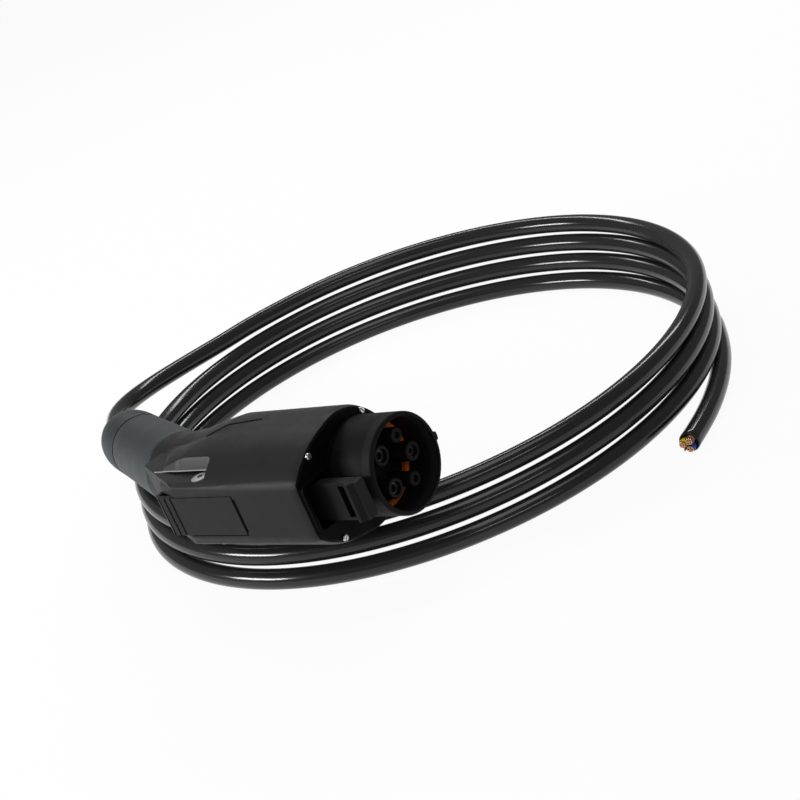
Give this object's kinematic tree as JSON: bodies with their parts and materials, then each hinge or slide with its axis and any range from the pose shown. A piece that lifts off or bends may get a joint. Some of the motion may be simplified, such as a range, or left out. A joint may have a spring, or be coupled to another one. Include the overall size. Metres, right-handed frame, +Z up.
{
  "type": "electric car charging cable",
  "caption": "Charging cable: round-nosed coupler with a latch and angled grip, on a black lead wound in a loose flat coil with a cut end.",
  "frame": {"origin": "centre of the mouth of the coupler's nose", "axes": "+Z up from the floor that the coil lies on; +X the way the nose points, seen from above"},
  "size_m": [0.3466, 0.3472, 0.0967],
  "materials": {
    "shell": "fine matte grain",
    "housing": "smooth matte",
    "insert": "smooth matte",
    "seal": "satin",
    "lever": "satin",
    "button": "matte",
    "steel": "bright",
    "switch": "matte",
    "grip": "satin",
    "collar": "satin",
    "contact": "silver plated",
    "cable": "glossy",
    "core_green": "gloss",
    "core_black": "gloss",
    "core_blue": "gloss",
    "core_red": "gloss",
    "copper": "bare strands"
  },
  "bodies": {
    "coupler": {"shell_left": "shell", "shell_right": "shell", "front_housing": "housing", "contact_insert": "insert", "seal_ring": "seal", "latch_pin": "steel", "latch_spring": "steel", "micro_switch": "switch", "plate_screws": "steel", "case_screws": "steel", "hand_grip": "grip", "end_collar": "collar", "contact_line": "contact", "contact_neutral": "contact", "contact_earth": "contact", "contact_pilot": "contact", "contact_proximity": "contact", "cable_lead": "cable", "cable_coil": "cable", "cable_tail": "cable", "core_earth": "core_green", "core_line": "core_black", "core_neutral": "core_blue", "core_control": "core_red", "copper_earth": "copper", "copper_line": "copper", "copper_neutral": "copper", "copper_control": "copper"},
    "latch": {"latch_lever": "lever", "release_button": "button"}
  },
  "joints": [
    {"name": "latch_press", "type": "hinge", "parent": "coupler", "child": "latch", "pos_m": [-0.06181, -0.02738, -0.00494], "axis": [0.0942, -0.0333, -0.995], "range_deg": [0, 4.5], "stiffness_Nm_per_rad": 0.8, "springref_deg": -8.59, "deforming": ["latch_spring"]}
  ]
}
